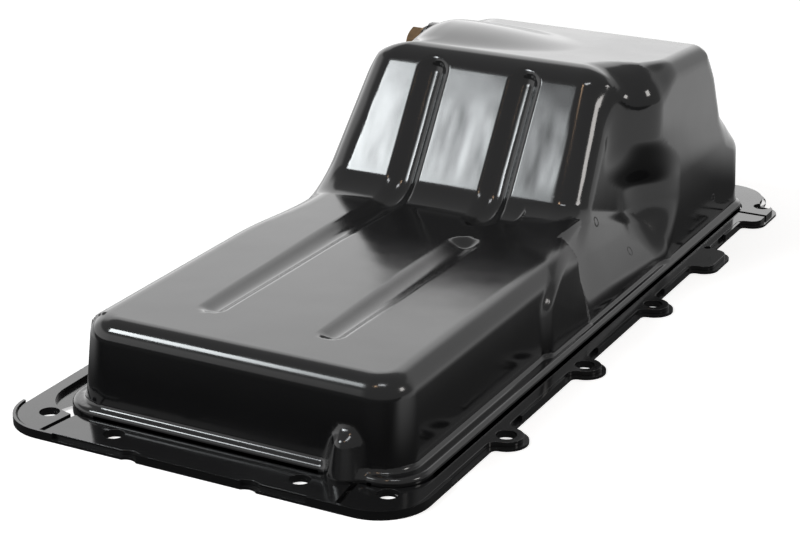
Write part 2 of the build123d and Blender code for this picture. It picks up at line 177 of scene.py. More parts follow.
def taper(y, z, a, b, ra, rb):
    # distance from the line a to b, seen from the side, and the radius there
    dy, dz = b[0] - a[0], b[1] - a[1]
    t = np.clip(((y - a[0]) * dy + (z - a[1]) * dz) / (dy * dy + dz * dz), 0, 1)
    return np.hypot(y - a[0] - t * dy, z - a[1] - t * dz), ra + (rb - ra) * t


def tube(across, *parts):
    return np.minimum.reduce([np.hypot(away, across) - radius for away, radius in parts])


def beadField(x, y, z, s, b):
    lift = b["radius"] - b["depth"]
    slope = math.radians(s["slopeAngle"])
    creaseY = s["slopeTop"] - (s["topHeight"] - s["deckHeight"]) / math.tan(slope)
    bend = s["creaseRound"] / (1 - math.cos(slope))      # true radius of the crease
    bendStart = creaseY - bend * math.tan(slope / 2)
    centre = (bendStart, s["deckHeight"] + bend)
    turn = bend - lift
    bendEnd = (centre[0] + turn * math.sin(slope), centre[1] - turn * math.cos(slope))
    stopZ = s["topHeight"] - b["endBelowTop"]
    stopY = s["slopeTop"] - (s["topHeight"] - stopZ) / math.tan(slope)
    stop = (stopY - lift * math.sin(slope), stopZ + lift * math.cos(slope))
    arcAngle = np.arctan2(y - centre[0], centre[1] - z)
    onArc = (arcAngle > 0) & (arcAngle < slope)
    toArc = np.abs(np.hypot(y - centre[0], z - centre[1]) - turn)
    arc = (np.where(onArc, toArc, farAway), b["radius"])
    climb = taper(y, z, bendEnd, stop, b["radius"], b["radius"])

    # on the deck each groove starts narrow and shallow and widens to the rear
    thin, wide = b["deckRadius"]
    low, high = (s["deckHeight"] + r - d for r, d in zip(b["deckRadius"], b["deckDepth"]))
    flare = (bendStart - b["flareEnd"], high)
    joint = (bendStart, s["deckHeight"] + lift)
    leftX = b["leftLine"][0] + b["leftDrift"] * between(y, *b["driftSpan"])
    left = tube(x - leftX, taper(y, z, (b["leftLine"][1], low), flare, thin, wide),
                taper(y, z, flare, joint, wide, b["radius"]), arc, climb)
    slopeStart = taper(y, z, joint, joint + np.array([1.0, 0.0]), b["radius"], b["radius"])
    onSlope = tube(x - b["slopeLine"], slopeStart, arc, climb)
    rightX, rightStart, rightEnd = b["rightLine"]
    right = tube(x - rightX, taper(y, z, (rightStart, low), (rightEnd, high), thin, wide))

    # the lip is softer on the left of each groove's middle
    middle = np.where(x < 0, leftX, np.where(y < b["rightPart"], rightX, b["slopeLine"]))
    soft, crisp = b["lips"]
    lip = crisp + (soft - crisp) * ease((middle - x) / b["lipBlend"] + 0.5)
    return np.minimum(np.minimum(left, onSlope), right), lip


def bowlField(x, y, z, s):
    lean = math.tan(math.radians(s["draft"]))
    upper = math.tan(math.radians(s["upperDraft"]))
    sumpLean = math.tan(math.radians(s["sumpDraft"]))
    fall = math.radians(s["topFall"])
    slope = math.radians(s["slopeAngle"])
    over = z - s["deckHeight"]
    bendIn = np.logaddexp(0, over / s["draftBlend"]) * s["draftBlend"]
    left = (-s["leftWall"] + lean * z + (upper - lean) * bendIn - x) / math.hypot(1, lean)
    front = (s["frontWall"] + lean * z - y) / math.hypot(1, lean)
    deckRight = (x - s["deckRight"] + lean * z) / math.hypot(1, lean)
    noseRight = (x - s["noseRight"] + lean * z) / math.hypot(1, lean)
    sumpRight = x - s["sumpRight"] + sumpLean * z
    rimLeft = s["rimRound"] + (s["leftRimRound"] - s["rimRound"]) * between(y, *s["leftRimSpan"])
    rimLeft += (s["sumpLeftRound"] - s["leftRimRound"]) * between(y, *s["sumpLeftSpan"])

    # shallow front box
    rim = np.where(x < 0, rimLeft, s["rimRound"])
    plan = cutRound(cutRound(deckRight, front, s["cornerRound"]), left, s["cornerRound"])
    deck = cutRound(plan, over, rim)
    sideX, sideY = s["deckSideEnd"]
    deck = np.maximum(deck, y - s["deckEnd"])
    deck = np.maximum(deck, np.minimum(x - sideX, y - sideY))

    # slope, sump floor and the rear profile, seen from the side
    climb = (s["slopeTop"] - y) * math.sin(slope) + (z - s["topHeight"]) * math.cos(slope)
    floor = (z - s["topHeight"]) * math.cos(fall) + (y - s["slopeTop"]) * math.sin(fall)
    heights, reaches = zip(*s["rearProfile"])
    rearLine = softCurve(heights, reaches, z, s["rearBlur"])
    rearStep = softCurve(heights, reaches, z + 1, s["rearBlur"]) - rearLine
    rear = (y - rearLine) / np.sqrt(1 + rearStep ** 2)
    profile = cutRound(climb, floor, s["browRound"])
    profile = cutRound(profile, rear, s["rearRound"])
    profile = joinRound(profile, over, s["creaseRound"])
    profile = np.maximum(profile, rear)

    # right side: nose wall, valley, shoulder with the pocket below it
    drop = 1 - between(z, s["pocketHeight"], s["shoulderHeight"])
    stepBack = s["pocketDepth"] * drop - s["pocketReturn"] * between(z, *s["pocketReturnSpan"])
    tilt = 1 + s["pocketTilt"] * drop * (1 - drop) * 4
    shoulder = (s["shoulder"] + stepBack - y) / np.sqrt(tilt)
    wide = cutRound(shoulder, sumpRight, s["shoulderRound"])
    high, low = s["valleyRound"]
    side = joinRound(noseRight, wide, high + (low - high) * drop)
    past = y - s["shoulder"]
    rimRight = s["noseRound"]
    rimRight = rimRight + (s["shoulderTopRound"] - rimRight) * between(past, *s["shoulderTopSpan"])
    rimRight += (s["sumpRound"] - s["shoulderTopRound"]) * between(past, *s["sumpSpan"])
    rimRight += (s["rearCornerRound"] - s["sumpRound"]) * between(y, *s["rearCornerSpan"])
    sump = cutRound(profile, side, rimRight)
    sump = cutRound(sump, left, rimLeft)
    sump = np.maximum(sump, s["sumpStart"] - y)
    return np.minimum(deck, sump)


def bulgeField(x, y, z, b):
    # a fairing along the right wall: a sloped face from its base to a crest that rises and falls
    crestX = softCurve(b["along"], b["crestAcross"], y, b["crestBlur"])
    crestZ = softCurve(b["along"], b["crestHeight"], y, b["crestBlur"])
    back = np.radians(softCurve(b["along"], b["backSlope"], y, b["slopeBlur"]))
    rise, run = crestZ - b["base"], b["reach"] - crestX
    face = ((x - b["reach"]) * rise + (z - b["base"]) * run) / np.hypot(rise, run)
    top = (z - crestZ) * np.cos(back) + (crestX - x) * np.sin(back)
    out = cutRound(face, x - b["reach"], b["foot"])
    out = cutRound(out, top, b["round"])
    out = cutRound(out, b["along"][0] - y, b["frontRound"])
    innerX = b["crestAcross"][-1] - b["thickness"]
    return np.maximum(out, np.maximum(y - b["along"][-1], innerX - x))


def domeField(x, y, z, s, d):
    # a cap cut from an egg shape, short on its left and drawn out on its right
    fall = math.tan(math.radians(s["topFall"]))
    crown = s["topHeight"] - fall * (d["along"] - s["slopeTop"]) + d["rise"]
    depth = d["depthShare"] * d["rise"]
    spread = 1 / math.sqrt(1 - ((depth - d["rise"]) / depth) ** 2)
    halfX, halfY = d["leftWidth"] * spread, d["halfLength"] * spread
    px, py, pz = x - d["across"], y - d["along"], z - crown + depth
    px = np.where(px > 0, px * d["leftWidth"] / d["rightWidth"], px)
    size = np.sqrt((px / halfX) ** 2 + (py / halfY) ** 2 + (pz / depth) ** 2)
    steep = np.sqrt((px / halfX ** 2) ** 2 + (py / halfY ** 2) ** 2 + (pz / depth ** 2) ** 2)
    return np.where(pz > 0, size * (size - 1) / np.maximum(steep, tiny), farAway)


def bossField(x, y, z, c):
    t = np.clip((z - c["bottom"]) / (c["top"] - c["bottom"]), 0, 1)
    cone = np.hypot(x - c["across"], y - c["along"]) - c["radius"] - (c["topRadius"] - c["radius"]) * t
    return cutRound(cone, z - c["top"], c["crown"])


def seatField(x, y, z, s, e):
    lean = math.tan(math.radians(s["draft"]))
    faceX = -(s["leftWall"] - e["height"] * lean + e["proud"])
    disc = np.hypot(y - e["along"], z - e["height"]) - e["radius"]
    return np.maximum(cutRound(disc, faceX - x, e["edge"]), x - e["innerSide"])


def footField(x, y, z, s):
    # the low ledge round the bowl's foot
    middleX, middleY = (s["footRight"] - s["footLeft"]) / 2, (s["footFront"] + s["footRear"]) / 2
    px = np.abs(x - middleX) - (s["footRight"] + s["footLeft"]) / 2 + s["footCorner"]
    py = np.abs(y - middleY) - (s["footRear"] - s["footFront"]) / 2 + s["footCorner"]
    inner = np.minimum(np.maximum(px, py), 0)
    plan = np.hypot(np.maximum(px, 0), np.maximum(py, 0)) + inner - s["footCorner"]
    return cutRound(plan, z - s["footHeight"], s["footRound"])


def panField(x, y, z):
    s, b = bowlShape, bulgeShape
    body = bowlField(x, y, z, s)
    bulgeBlend = b["blend"] * (1 - between(y, *b["blendEnd"])) + b["leastBlend"]
    body = joinRound(body, bulgeField(x, y, z, b), bulgeBlend)
    body = joinRound(body, domeField(x, y, z, s, domeShape), domeShape["blend"])
    body = joinRound(body, bossField(x, y, z, bossShape), bossShape["blend"])
    body = joinRound(body, seatField(x, y, z, s, seatShape), seatShape["blend"])
    groove, lip = beadField(x, y, z, s, beadShape)
    body = cutRound(body, -groove, lip)
    return joinRound(body, footField(x, y, z, s), s["footBlend"])


# skin: a net of quads laid where the field crosses a level, in finer cells at the tight bends

netShape = {
    "cell": 2.6, "innerShare": 1.3,
    "across": (-108, 120, ((-101, -96, 0.4), (-50, -14, 0.5), (16, 60, 0.5),
                           (84, 100, 0.5), (108, 113, 0.4))),      # start, end, share of the cell
    "along": (16, 524, ((26, 31, 0.4), (512, 518, 0.4))),
    "up": (-6, 150, ((4, 10, 0.4), (50, 62, 0.5))),
    "rounds": 4, "relax": 0.5, "pulls": 2, "longestPull": 1.5, "leastSlope": 0.05,
    "outerFoot": 0.6, "innerFoot": 0.3,        # the skin ends this far above the flange's face
}


def gridLine(low, high, fine, cell):
    points = [low]
    while points[-1] < high:
        step = cell
        for start, end, share in fine:
            if start - cell < points[-1] < end:
                step = cell * share
        points.append(points[-1] + step)
    return np.array(points)


def slopeOf(field, p, step=0.05):
    g = np.empty_like(p)
    for axis in range(3):
        ahead, behind = p.copy(), p.copy()
        ahead[:, axis] += step
        behind[:, axis] -= step
        g[:, axis] = (field(*ahead.T) - field(*behind.T)) / (2 * step)
    return g


def facingOf(field, p):
    g = slopeOf(field, p)
    return g / np.maximum(np.linalg.norm(g, axis=1), tiny)[:, None]


def pullOn(field, p, longest):
    g = slopeOf(field, p)
    step = field(*p.T) / np.maximum((g * g).sum(axis=1), netShape["leastSlope"])
    return p - np.clip(step, -longest, longest)[:, None] * g


def layNet(field, xs, ys, zs):
    # every cell has eight corners and twelve edges
    gx, gy, gz = np.meshgrid(xs, ys, zs, indexing="ij")
    value = field(gx, gy, gz)
    inside = value < 0

    # one point in every cell that the surface passes, at the mean of its edges' crossings
    offsets = np.array([(i, j, k) for i in (0, 1) for j in (0, 1) for k in (0, 1)])
    count = sum(inside[o[0]:inside.shape[0] - 1 + o[0], o[1]:inside.shape[1] - 1 + o[1],
                       o[2]:inside.shape[2] - 1 + o[2]].astype(np.int8) for o in offsets)
    cells = np.argwhere((count > 0) & (count < 8))
    label = -np.ones(count.shape, dtype=np.int64)
    label[tuple(cells.T)] = np.arange(len(cells))
    corner = cells[:, None, :] + offsets[None]
    v = value[corner[..., 0], corner[..., 1], corner[..., 2]]
    place = np.stack([xs[corner[..., 0]], ys[corner[..., 1]], zs[corner[..., 2]]], axis=-1)
    total = np.zeros((len(cells), 3))
    hits = np.zeros(len(cells))
    for a in range(8):
        for b in range(a + 1, 8):
            if np.abs(offsets[a] - offsets[b]).sum() != 1:
                continue
            crossing = (v[:, a] < 0) != (v[:, b] < 0)
            t = v[:, a] / np.where(crossing, v[:, a] - v[:, b], 1)
            point = place[:, a] + t[:, None] * (place[:, b] - place[:, a])
            total += np.where(crossing[:, None], point, 0)
            hits += crossing
    points = total / hits[:, None]

    # one quad round every grid edge that crosses the surface, its face outwards
    quads = []
    for axis in range(3):
        second, third = (axis + 1) % 3, (axis + 2) % 3
        low = [slice(None)] * 3
        high = [slice(None)] * 3
        low[axis], high[axis] = slice(0, -1), slice(1, None)
        change = inside[tuple(low)] != inside[tuple(high)]
        at = np.argwhere(change)
        keep = np.ones(len(at), bool)
        for other in (second, third):
            keep &= (at[:, other] >= 1) & (at[:, other] < count.shape[other])
        at = at[keep]
        ring = []
        for back2, back3 in ((1, 1), (0, 1), (0, 0), (1, 0)):
            c = at.copy()
            c[:, second] -= back2
            c[:, third] -= back3
            ring.append(label[tuple(c.T)])
        ring = np.stack(ring, axis=1)
        outward = inside[tuple(at.T)]
        ring[~outward] = ring[~outward][:, ::-1]
        quads.append(ring)
    return points, np.concatenate(quads)


def settle(field, points, quads, s):
    # evens out the net along the surface, and pulls it back onto it
    edges = np.concatenate([quads[:, [0, 1]], quads[:, [1, 2]], quads[:, [2, 3]], quads[:, [3, 0]]])
    edges = np.concatenate([edges, edges[:, ::-1]])
    starts, ends = edges[:, 0], edges[:, 1]
    degree = np.maximum(np.bincount(starts, minlength=len(points)), 1)
    for turn in range(s["rounds"]):
        sums = [np.bincount(starts, points[ends, axis], minlength=len(points)) for axis in range(3)]
        move = np.stack(sums, axis=1) / degree[:, None] - points
        n = facingOf(field, points)
        move -= (move * n).sum(axis=1)[:, None] * n
        points = points + s["relax"] * move
        for pull in range(s["pulls"]):
            points = pullOn(field, points, s["longestPull"])
    return points, facingOf(field, points)


def skinMesh(depth, cell, footZ):
    def field(x, y, z):
        return panField(x, y, z) + depth

    s = netShape
    points, quads = layNet(field, *(gridLine(*s[side], cell) for side in ("across", "along", "up")))
    points, normals = settle(field, points, quads, s)
    points[:, 2] = np.maximum(points[:, 2], footZ)
    quads = quads[(points[quads][:, :, 2] > footZ + tiny).any(axis=1)]
    return points, quads, normals


def meshFrom(name, points, faces, normals):
    mesh = bpy.data.meshes.new(name)
    mesh.from_pydata(points.tolist(), [], faces.tolist())
    mesh.validate()
    mesh.shade_smooth()
    mesh.normals_split_custom_set_from_vertices(normals.tolist())
    piece = bpy.data.objects.new(name, mesh)
    bpy.context.scene.collection.objects.link(piece)
    return piece


def toFrame(points):
    return (points - np.array([0.0, panLength / 2, 0.0])) * mm


def settleModifiers(piece):
    plain = bpy.data.meshes.new_from_object(piece.evaluated_get(bpy.context.evaluated_depsgraph_get()))
    piece.modifiers.clear()
    piece.data = plain


def makeBowl(s):
    coarse = s["cell"] * s["innerShare"]
    outer, outerQuads, outerNormals = skinMesh(0.0, s["cell"], s["outerFoot"])
    inner, innerQuads, innerNormals = skinMesh(bowlShape["sheet"], coarse, s["innerFoot"])
    points = toFrame(np.concatenate([outer, inner]))
    faces = np.concatenate([outerQuads, innerQuads[:, ::-1] + len(outer)])
    normals = np.concatenate([outerNormals, -innerNormals])
    return meshFrom("panBowl", points, faces, normals)


panBowl = makeBowl(netShape)
print("stage: bowl", len(panBowl.data.polygons))


# flange and stiffener strips: the CAD plates with softened edges

edgeFinish = {
    "flange": (0.35, 2), "plate": (0.7, 3), "plug": (0.5, 2),      # width of the soft edge in mm, steps
    "flangeTop": 5.6, "footMargin": 2.4,
    "merge": 2e-6, "flatAngle": 0.5, "bevelAngle": 35, "flatWeight": 90,
}


def dressedCopy(node, name, kind, keep=None):
    s = edgeFinish
    width, steps = s[kind]
    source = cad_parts[node]
    mesh = source.data.copy()
    mesh.transform(source.matrix_world)
    piece = bpy.data.objects.new(name, mesh)
    bpy.context.scene.collection.objects.link(piece)
    work = bmesh.new()
    work.from_mesh(mesh)
    bmesh.ops.remove_doubles(work, verts=work.verts, dist=s["merge"])
    if keep:
        gone = [f for f in work.faces if not keep(f)]
        bmesh.ops.delete(work, geom=gone, context="FACES")
    flat = math.radians(s["flatAngle"])
    bmesh.ops.dissolve_limit(work, angle_limit=flat, verts=work.verts, edges=work.edges)
    work.to_mesh(mesh)
    work.free()
    mesh.shade_smooth()
    bevel = piece.modifiers.new("softEdge", "BEVEL")
    bevel.width = width * mm
    bevel.segments = steps
    bevel.limit_method = "ANGLE"
    bevel.angle_limit = math.radians(s["bevelAngle"])
    bevel.use_clamp_overlap = True
    weight = piece.modifiers.new("flatFaces", "WEIGHTED_NORMAL")
    weight.mode = "FACE_AREA"
    weight.weight = s["flatWeight"]
    weight.keep_sharp = True
    settleModifiers(piece)
    return piece


def onFlange(face):
    # the flange's own faces, and not the bowl that the skin stands for
    s, margin = bowlShape, edgeFinish["footMargin"]
    if max(v.co.z for v in face.verts) / mm > edgeFinish["flangeTop"]:
        return False
    for v in face.verts:
        x, y = v.co.x / mm, v.co.y / mm + panLength / 2
        overX = -s["footLeft"] + margin < x < s["footRight"] - margin
        overY = s["footFront"] + margin < y < s["footRear"] - margin
        if overX and overY:
            return False
    return True


panFlange = dressedCopy("pan_shell", "panFlange", "flange", onFlange)
print("stage: flange", len(panFlange.data.polygons))

plates = {}
for node, name in (("front_plate", "frontStrip"), ("left_rail_plate", "leftStrip"),
                   ("right_rail_plate", "rightStrip"), ("rear_plate", "rearStrip")):
    plates[node] = dressedCopy(node, name, "plate")
plugPiece = dressedCopy("drain_plug", "drainPlug", "plug")
print("stage: strips and plug")


# spot welds, each a small pressed ring, laid on the skin by geometry nodes

weldMarks = {
    "radius": 2.6, "wire": 0.42, "sink": 0.24, "sides": 20, "ringSides": 6, "sizes": (0.9, 1.1), "seed": 7,
    "pulls": 30,
    "places": ((89.0, 303.4, 53.0), (99.8, 333.7, 26.6), (108.8, 452.4, 25.1),
               (-96.0, 300.0, 38.0), (-96.0, 120.0, 30.0), (-92.0, 360.0, 60.0)),
}


def onSkin(points, pulls):
    p = np.array(points, dtype=float)
    for turn in range(pulls):
        p = pullOn(panField, p, farAway)
    return p, facingOf(panField, p)


def ringTree(material, sizes):
    group = bpy.data.node_groups.new("spotWelds", "GeometryNodeTree")
    for label, kind in (("Geometry", "NodeSocketGeometry"), ("Radius", "NodeSocketFloat"),
                        ("Wire", "NodeSocketFloat"), ("Sides", "NodeSocketInt"),
                        ("Ring Sides", "NodeSocketInt"), ("Seed", "NodeSocketInt")):
        group.interface.new_socket(name=label, in_out="INPUT", socket_type=kind)
    group.interface.new_socket(name="Geometry", in_out="OUTPUT", socket_type="NodeSocketGeometry")
    link = group.links.new
    given = group.nodes.new("NodeGroupInput").outputs
    circle = group.nodes.new("GeometryNodeCurvePrimitiveCircle")
    section = group.nodes.new("GeometryNodeCurvePrimitiveCircle")
    link(given["Sides"], circle.inputs["Resolution"])
    link(given["Radius"], circle.inputs["Radius"])
    link(given["Ring Sides"], section.inputs["Resolution"])
    link(given["Wire"], section.inputs["Radius"])
    ring = group.nodes.new("GeometryNodeCurveToMesh")
    link(circle.outputs["Curve"], ring.inputs["Curve"])
    link(section.outputs["Curve"], ring.inputs["Profile Curve"])
    facing = group.nodes.new("GeometryNodeInputNamedAttribute")
    facing.data_type = "FLOAT_VECTOR"
    facing.inputs["Name"].default_value = "facing"
    turn = group.nodes.new("FunctionNodeAlignRotationToVector")
    turn.axis = "Z"
    link(facing.outputs["Attribute"], turn.inputs["Vector"])
    size = group.nodes.new("FunctionNodeRandomValue")
    size.data_type = "FLOAT"
    ends = (socket for socket in size.inputs if socket.name in ("Min", "Max") and socket.type == "VALUE")
    for socket, value in zip(ends, sizes):
        socket.default_value = value
    link(given["Seed"], size.inputs["Seed"])
    spread = group.nodes.new("GeometryNodeInstanceOnPoints")
    link(given["Geometry"], spread.inputs["Points"])
    link(ring.outputs["Mesh"], spread.inputs["Instance"])
    link(turn.outputs["Rotation"], spread.inputs["Rotation"])
    link(next(socket for socket in size.outputs if socket.type == "VALUE"), spread.inputs["Scale"])
    smooth = group.nodes.new("GeometryNodeSetShadeSmooth")
    real = group.nodes.new("GeometryNodeRealizeInstances")
    finish = group.nodes.new("GeometryNodeSetMaterial")
    finish.inputs["Material"].default_value = material
    link(spread.outputs["Instances"], real.inputs["Geometry"])
    link(real.outputs["Geometry"], smooth.inputs["Geometry"])
    link(smooth.outputs["Geometry"], finish.inputs["Geometry"])
    link(finish.outputs["Geometry"], group.nodes.new("NodeGroupOutput").inputs["Geometry"])
    return group


def setInput(modifier, name, value):
    socket = next(item for item in modifier.node_group.interface.items_tree
                  if item.item_type == "SOCKET" and item.in_out == "INPUT" and item.name == name)
    modifier[socket.identifier] = value


def makeWelds(s, material):
    points, normals = onSkin(s["places"], s["pulls"])
    mesh = bpy.data.meshes.new("weldPoints")
    mesh.from_pydata(toFrame(points - normals * s["sink"]).tolist(), [], [])
    facing = mesh.attributes.new("facing", "FLOAT_VECTOR", "POINT")
    facing.data.foreach_set("vector", normals.ravel().astype(np.float32))
    piece = bpy.data.objects.new("weldMarks", mesh)
    bpy.context.scene.collection.objects.link(piece)
    modifier = piece.modifiers.new("spotWelds", "NODES")
    modifier.node_group = ringTree(material, s["sizes"])
    for name, value in (("Radius", s["radius"] * mm), ("Wire", s["wire"] * mm), ("Sides", s["sides"]),
                        ("Ring Sides", s["ringSides"]), ("Seed", s["seed"])):
        setInput(modifier, name, value)
    settleModifiers(piece)
    return piece


# finishes

def newMaterial(name):
    material = bpy.data.materials.new(name)
    material.use_nodes = True
    tree = material.node_tree
    tree.nodes.clear()
    out = tree.nodes.new("ShaderNodeOutputMaterial")
    shader = tree.nodes.new("ShaderNodeBsdfPrincipled")
    tree.links.new(shader.outputs[0], out.inputs[0])
    return material, tree, shader


def addNode(tree, kind, **inputs):
    node = tree.nodes.new(kind)
    for key, value in inputs.items():
        node.inputs[key.replace("_", " ")].default_value = value
    return node


def mathNode(tree, operation, *inputs):
    node = tree.nodes.new("ShaderNodeMath")
    node.operation = operation
    for socket, value in zip(node.inputs, inputs):
        if isinstance(value, (int, float)):
            socket.default_value = value
        else:
            tree.links.new(value, socket)
    return node.outputs[0]


def ramp(tree, value, start, end, low=0.0, high=1.0):
    node = tree.nodes.new("ShaderNodeMapRange")
    node.interpolation_type = "SMOOTHSTEP"
    for key, number in (("From Min", start), ("From Max", end), ("To Min", low), ("To Max", high)):
        node.inputs[key].default_value = number
    tree.links.new(value, node.inputs["Value"])
    return node.outputs["Result"]


def newGroup(name, inputs, outputs):
    group = bpy.data.node_groups.new(name, "ShaderNodeTree")
    for label, kind, value in inputs:
        socket = group.interface.new_socket(name=label, in_out="INPUT", socket_type=kind)
        if value is not None:
            socket.default_value = value
    for label, kind in outputs:
        group.interface.new_socket(name=label, in_out="OUTPUT", socket_type=kind)
    return group, group.nodes.new("NodeGroupInput").outputs, group.nodes.new("NodeGroupOutput").inputs


def noiseFrom(tree, place, scale, detail=2.0, roughness=0.5):
    node = addNode(tree, "ShaderNodeTexNoise", Detail=detail, Roughness=roughness)
    tree.links.new(place, node.inputs["Vector"])
    if isinstance(scale, (int, float)):
        node.inputs["Scale"].default_value = scale
    else:
        tree.links.new(scale, node.inputs["Scale"])
    return node.outputs["Fac"]


def makeSurfaceGroup():
    # slow waves of pressed sheet, orange peel of paint, and masks of settled dust and uneven gloss
    group, given, result = newGroup("pressedSurface", [
        ("Place", "NodeSocketVector", None), ("Wave Scale", "NodeSocketFloat", 16.0),
        ("Wave Depth", "NodeSocketFloat", 0.0003), ("Peel Scale", "NodeSocketFloat", 900.0),
        ("Peel Depth", "NodeSocketFloat", 0.000004), ("Dust Scale", "NodeSocketFloat", 260.0),
        ("Dust Amount", "NodeSocketFloat", 0.25), ("Blotch Scale", "NodeSocketFloat", 9.0),
    ], [("Normal", "NodeSocketVector"), ("Dust", "NodeSocketFloat"), ("Blotch", "NodeSocketFloat")])
    link = group.links.new
    place = given["Place"]
    wave = addNode(group, "ShaderNodeBump", Strength=1.0)
    waves = noiseFrom(group, place, given["Wave Scale"], detail=2.0, roughness=0.45)
    link(waves, wave.inputs["Height"])
    link(given["Wave Depth"], wave.inputs["Distance"])
    peel = addNode(group, "ShaderNodeBump", Strength=1.0)
    link(noiseFrom(group, place, given["Peel Scale"], detail=1.0), peel.inputs["Height"])
    link(given["Peel Depth"], peel.inputs["Distance"])
    link(wave.outputs["Normal"], peel.inputs["Normal"])
    link(peel.outputs["Normal"], result["Normal"])
    specks = noiseFrom(group, place, given["Dust Scale"], detail=4.0, roughness=0.7)
    dust = ramp(group, specks, start=0.56, end=0.74)
    link(mathNode(group, "MULTIPLY", dust, given["Dust Amount"]), result["Dust"])
    link(noiseFrom(group, place, given["Blotch Scale"], detail=5.0, roughness=0.6), result["Blotch"])
    return group


surfaceGroup = makeSurfaceGroup()


def surfaceOf(tree, place, values):
    node = tree.nodes.new("ShaderNodeGroup")
    node.node_tree = surfaceGroup
    tree.links.new(place, node.inputs["Place"])
    for label, value in values.items():
        node.inputs[label].default_value = value
    return node.outputs


def mixColour(tree, mask, first, second):
    node = tree.nodes.new("ShaderNodeMix")
    node.data_type = "RGBA"
    node.inputs["A"].default_value = first
    node.inputs["B"].default_value = second
    tree.links.new(mask, node.inputs["Factor"])
    return node.outputs["Result"]


coatFinish = {
    "colour": (0.0085, 0.0085, 0.009, 1), "dusty": (0.016, 0.016, 0.017, 1),
    "roughness": (0.09, 0.2), "blotchEnds": (0.35, 0.7), "index": 1.52,
    "surface": {"Wave Scale": 16.0, "Wave Depth": 0.0004, "Peel Scale": 900.0, "Peel Depth": 0.000004,
                "Dust Scale": 260.0, "Dust Amount": 0.25, "Blotch Scale": 9.0},
    "foldScale": 34.0, "foldDepth": 0.0009, "foldStretch": (1.4, 0.5, 0.5),
    "foldHeights": (0.064, 0.078, 0.100, 0.118), "foldRear": (0.06, 0.045),
}


def makeCoat(s):
    material, tree, shader = newMaterial("blackCoat")
    place = tree.nodes.new("ShaderNodeTexCoord").outputs["Object"]
    link = tree.links.new
    surface = surfaceOf(tree, place, s["surface"])

    # drawing folds where the slope was pulled over its lower bend
    stretch = tree.nodes.new("ShaderNodeMapping")
    stretch.inputs["Scale"].default_value = s["foldStretch"]
    link(place, stretch.inputs["Vector"])
    spot = tree.nodes.new("ShaderNodeSeparateXYZ")
    link(place, spot.inputs[0])
    along, up = spot.outputs[1], spot.outputs[2]
    low, lowEnd, highEnd, high = s["foldHeights"]
    zone = mathNode(tree, "MULTIPLY", ramp(tree, up, low, lowEnd), ramp(tree, up, high, highEnd))
    zone = mathNode(tree, "MULTIPLY", zone, ramp(tree, along, *s["foldRear"]))
    folds = addNode(tree, "ShaderNodeBump", Distance=s["foldDepth"])
    link(noiseFrom(tree, stretch.outputs[0], s["foldScale"], detail=1.5), folds.inputs["Height"])
    link(zone, folds.inputs["Strength"])
    link(surface["Normal"], folds.inputs["Normal"])
    link(folds.outputs["Normal"], shader.inputs["Normal"])
    link(ramp(tree, surface["Blotch"], *s["blotchEnds"], *s["roughness"]), shader.inputs["Roughness"])
    link(mixColour(tree, surface["Dust"], s["colour"], s["dusty"]), shader.inputs["Base Color"])
    shader.inputs["IOR"].default_value = s["index"]
    return material


plugFinish = {
    "colour": (0.36, 0.235, 0.125, 1), "dark": (0.12, 0.075, 0.045, 1),
    "roughness": (0.3, 0.5), "dustEnds": (0.0, 0.6), "metal": 0.85,
    "surface": {"Wave Scale": 160.0, "Wave Depth": 0.00002, "Peel Scale": 1400.0, "Peel Depth": 0.000006,
                "Dust Scale": 420.0, "Dust Amount": 0.6, "Blotch Scale": 170.0},
}


def makePlugSteel(s):
    material, tree, shader = newMaterial("passivatedSteel")
    place = tree.nodes.new("ShaderNodeTexCoord").outputs["Object"]
    link = tree.links.new
    surface = surfaceOf(tree, place, s["surface"])
    link(mixColour(tree, surface["Blotch"], s["colour"], s["dark"]), shader.inputs["Base Color"])
    link(ramp(tree, surface["Dust"], *s["dustEnds"], *s["roughness"]), shader.inputs["Roughness"])
    link(surface["Normal"], shader.inputs["Normal"])
    shader.inputs["Metallic"].default_value = s["metal"]
    return material


sealFinish = {
    "colour": (0.018, 0.018, 0.018, 1), "dusty": (0.05, 0.048, 0.045, 1),
    "roughness": (0.5, 0.7), "blotchEnds": (0.3, 0.7),
    "surface": {"Wave Scale": 60.0, "Wave Depth": 0.00002, "Peel Scale": 2200.0, "Peel Depth": 0.00002,
                "Dust Scale": 500.0, "Dust Amount": 0.5, "Blotch Scale": 90.0},
}


def makeSeal(s):
    material, tree, shader = newMaterial("sealRubber")
    place = tree.nodes.new("ShaderNodeTexCoord").outputs["Object"]
    link = tree.links.new
    surface = surfaceOf(tree, place, s["surface"])
    link(mixColour(tree, surface["Dust"], s["colour"], s["dusty"]), shader.inputs["Base Color"])
    link(ramp(tree, surface["Blotch"], *s["blotchEnds"], *s["roughness"]), shader.inputs["Roughness"])
    link(surface["Normal"], shader.inputs["Normal"])
    return material


blackCoat = makeCoat(coatFinish)
plugSteel = makePlugSteel(plugFinish)
sealRubber = makeSeal(sealFinish)


def dress(piece, material):
    piece.data.materials.clear()
    piece.data.materials.append(material)


weldPiece = makeWelds(weldMarks, blackCoat)
print("stage: spot welds", len(weldPiece.data.polygons))

for piece in [panBowl, panFlange, *plates.values()]:
    dress(piece, blackCoat)
dress(plugPiece, plugSteel)
for node in ("drain_nut", "oil_baffle"):
    dress(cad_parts[node], blackCoat)
dress(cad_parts["drain_plug_gasket"], sealRubber)

for piece in (panBowl, panFlange):
    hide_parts("pan_shell")
    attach(piece, "pan")
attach(weldPiece, "pan")
for node, piece in plates.items():
    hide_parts(node)
    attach(piece, "pan")
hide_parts("drain_plug")
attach(plugPiece, "plug")
print("stage: finishes")


# stage and light

